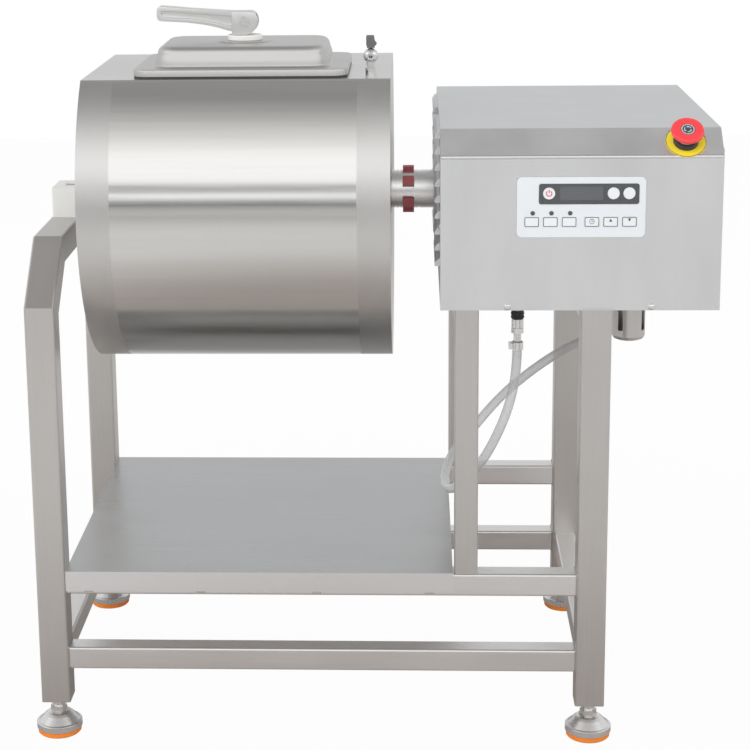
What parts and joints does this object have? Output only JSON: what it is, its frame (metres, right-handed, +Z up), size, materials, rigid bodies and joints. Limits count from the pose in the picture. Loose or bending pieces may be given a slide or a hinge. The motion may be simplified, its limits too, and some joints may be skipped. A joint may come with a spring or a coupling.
{
  "type": "meat vacuum tumbler",
  "caption": "Stainless meat tumbler: a flat-topped horizontal drum with a clamped lid turns between a bearing block and a jaw-coupled drive housing on a welded frame",
  "frame": {"origin": "On the floor, under the middle of the machine's bounding box", "axes": "X runs along the drum towards the drive housing, Y from front to back, Z up"},
  "size_m": [0.8846, 0.5028, 0.9435],
  "materials": {
    "frame_steel": "vertically brushed square tube with ground weld seams",
    "sheet_steel": "cold-rolled stainless sheet with light handling scratches",
    "drum_steel": "fine circumferential brushing, vertical near both ends",
    "housing_steel": "satin stainless sheet, bend lines left bright",
    "machined_steel": "turned stainless with fine tool marks",
    "cast_aluminium": "smooth bead-blasted casting",
    "white_nylon": "machined white nylon",
    "seal_rubber": "moulded grey food-grade rubber",
    "pad_rubber": "moulded orange rubber",
    "red_rubber": "moulded red elastomer",
    "dark_plastic": "moulded dark plastic",
    "panel_white": "satin polyester membrane",
    "display_grey": "smoked display strip",
    "key_white": "embossed membrane keys",
    "key_red": "embossed power key",
    "stop_yellow": "satin yellow disc",
    "stop_cream": "cream moulded stem",
    "stop_red": "glossy moulded red",
    "clear_pvc": "soft clear PVC tube",
    "gear_paint": "blue-grey hammered paint",
    "pump_paint": "dark grey paint"
  },
  "bodies": {
    "frame": {"left_front_leg": "frame_steel", "left_rear_leg": "frame_steel", "left_braces": "frame_steel", "left_top_beam": "frame_steel", "right_legs": "frame_steel", "middle_posts": "frame_steel", "rails": "frame_steel", "top_beams": "frame_steel", "shelf": "sheet_steel", "foot_pads": "pad_rubber", "foot_cones": "machined_steel", "foot_nuts": "machined_steel", "bearing_block": "white_nylon", "machine_tray": "sheet_steel", "housing_cover": "housing_steel", "left_side_panel": "housing_steel", "right_side_panel": "housing_steel", "rear_panel": "housing_steel", "fasteners": "machined_steel", "cable_gland": "dark_plastic", "gear_motor": "gear_paint", "vacuum_pump": "pump_paint", "exhaust_guard": "housing_steel", "control_panel": "panel_white", "display_strip": "display_grey", "estop_plate": "stop_yellow", "estop_collar": "dark_plastic", "hose_fittings": "machined_steel", "hose": "clear_pvc"},
    "drum": {"drum_shell": "drum_steel", "drum_top_plate": "drum_steel", "drum_ends": "drum_steel", "drum_journals": "machined_steel", "drum_baffles": "drum_steel", "valve_body": "machined_steel"},
    "drive": {"drive_sleeve": "machined_steel", "coupling_spider": "red_rubber"},
    "lid_unit": {"lid": "housing_steel", "gasket": "seal_rubber", "lid_washer": "white_nylon"},
    "clamp": {"clamp_bar": "machined_steel"},
    "lever": {"cam_lever": "cast_aluminium", "lever_pin": "machined_steel"},
    "valve_wing": {"valve_handle": "dark_plastic"},
    "stop_stem": {"estop_stem": "stop_cream"},
    "stop_head": {"estop_mushroom": "stop_red"},
    "coupler_sleeve": {"coupler_ring": "dark_plastic"},
    "button_power": {"key_power": "key_red"},
    "button_minus": {"key_minus": "key_white"},
    "button_plus": {"key_plus": "key_white"},
    "button_lower_1": {"key_lower_1": "key_white"},
    "button_lower_2": {"key_lower_2": "key_white"},
    "button_lower_3": {"key_lower_3": "key_white"},
    "button_lower_4": {"key_lower_4": "key_white"},
    "button_lower_5": {"key_lower_5": "key_white"},
    "button_lower_6": {"key_lower_6": "key_white"},
    "stud_left_front": {"foot_stud_left_front": "machined_steel"},
    "stud_left_rear": {"foot_stud_left_rear": "machined_steel"},
    "stud_right_front": {"foot_stud_right_front": "machined_steel"},
    "stud_right_rear": {"foot_stud_right_rear": "machined_steel"}
  },
  "joints": [
    {"name": "drum_spin", "type": "hinge", "parent": "frame", "child": "drum", "pos_m": [0, 0, 0.691], "axis": [1, 0, 0], "continuous": true},
    {"name": "drive_spin", "type": "hinge", "parent": "frame", "child": "drive", "pos_m": [0, 0, 0.691], "axis": [1, 0, 0], "continuous": true},
    {"name": "lid_lift", "type": "slide", "parent": "drum", "child": "lid_unit", "axis": [0, 0, 1], "range_m": [0, 0.1]},
    {"name": "clamp_turn", "type": "hinge", "parent": "lid_unit", "child": "clamp", "pos_m": [-0.16105, -0.041, 0.85], "axis": [0, 0, 1], "range_deg": [-90, 0]},
    {"name": "lever_flip", "type": "hinge", "parent": "clamp", "child": "lever", "pos_m": [-0.16105, -0.041, 0.9232], "axis": [0, 1, 0], "range_deg": [0, 95]},
    {"name": "valve_turn", "type": "hinge", "parent": "drum", "child": "valve_wing", "pos_m": [0.0057, -0.11, 0.9], "axis": [0, 0, 1], "range_deg": [0, 90]},
    {"name": "estop_press", "type": "slide", "parent": "frame", "child": "stop_stem", "axis": [0, 0.6551, -0.7555], "range_m": [0, 0.004], "stiffness_N_per_m": 1500, "springref_m": -0.002},
    {"name": "estop_twist", "type": "hinge", "parent": "stop_stem", "child": "stop_head", "pos_m": [0.3944, -0.23019, 0.8011], "axis": [0, -0.6551, 0.7555], "range_deg": [0, 30], "stiffness_Nm_per_rad": 0.3, "springref_deg": -5.73},
    {"name": "key_power_press", "type": "slide", "parent": "frame", "child": "button_power", "axis": [0, 1, 0], "range_m": [0, 0.0006], "stiffness_N_per_m": 800, "springref_m": -0.0005},
    {"name": "key_minus_press", "type": "slide", "parent": "frame", "child": "button_minus", "axis": [0, 1, 0], "range_m": [0, 0.0006], "stiffness_N_per_m": 800, "springref_m": -0.0005},
    {"name": "key_plus_press", "type": "slide", "parent": "frame", "child": "button_plus", "axis": [0, 1, 0], "range_m": [0, 0.0006], "stiffness_N_per_m": 800, "springref_m": -0.0005},
    {"name": "key_lower_1_press", "type": "slide", "parent": "frame", "child": "button_lower_1", "axis": [0, 1, 0], "range_m": [0, 0.0006], "stiffness_N_per_m": 800, "springref_m": -0.0005},
    {"name": "key_lower_2_press", "type": "slide", "parent": "frame", "child": "button_lower_2", "axis": [0, 1, 0], "range_m": [0, 0.0006], "stiffness_N_per_m": 800, "springref_m": -0.0005},
    {"name": "key_lower_3_press", "type": "slide", "parent": "frame", "child": "button_lower_3", "axis": [0, 1, 0], "range_m": [0, 0.0006], "stiffness_N_per_m": 800, "springref_m": -0.0005},
    {"name": "key_lower_4_press", "type": "slide", "parent": "frame", "child": "button_lower_4", "axis": [0, 1, 0], "range_m": [0, 0.0006], "stiffness_N_per_m": 800, "springref_m": -0.0005},
    {"name": "key_lower_5_press", "type": "slide", "parent": "frame", "child": "button_lower_5", "axis": [0, 1, 0], "range_m": [0, 0.0006], "stiffness_N_per_m": 800, "springref_m": -0.0005},
    {"name": "key_lower_6_press", "type": "slide", "parent": "frame", "child": "button_lower_6", "axis": [0, 1, 0], "range_m": [0, 0.0006], "stiffness_N_per_m": 800, "springref_m": -0.0005},
    {"name": "coupler_lift", "type": "slide", "parent": "frame", "child": "coupler_sleeve", "axis": [0, 0, 1], "range_m": [0, 0.003], "stiffness_N_per_m": 500, "springref_m": -0.002},
    {"name": "stud_left_front_turn", "type": "hinge", "parent": "frame", "child": "stud_left_front", "pos_m": [-0.4123, -0.2215, 0.04], "axis": [0, 0, 1], "continuous": true},
    {"name": "stud_left_rear_turn", "type": "hinge", "parent": "frame", "child": "stud_left_rear", "pos_m": [-0.4123, 0.2215, 0.04], "axis": [0, 0, 1], "continuous": true},
    {"name": "stud_right_front_turn", "type": "hinge", "parent": "frame", "child": "stud_right_front", "pos_m": [0.2877, -0.2215, 0.04], "axis": [0, 0, 1], "continuous": true},
    {"name": "stud_right_rear_turn", "type": "hinge", "parent": "frame", "child": "stud_right_rear", "pos_m": [0.2877, 0.2215, 0.04], "axis": [0, 0, 1], "continuous": true}
  ],
  "couplings": [
    {"joint": "drive_spin", "follows": "drum_spin", "ratio": 1}
  ]
}
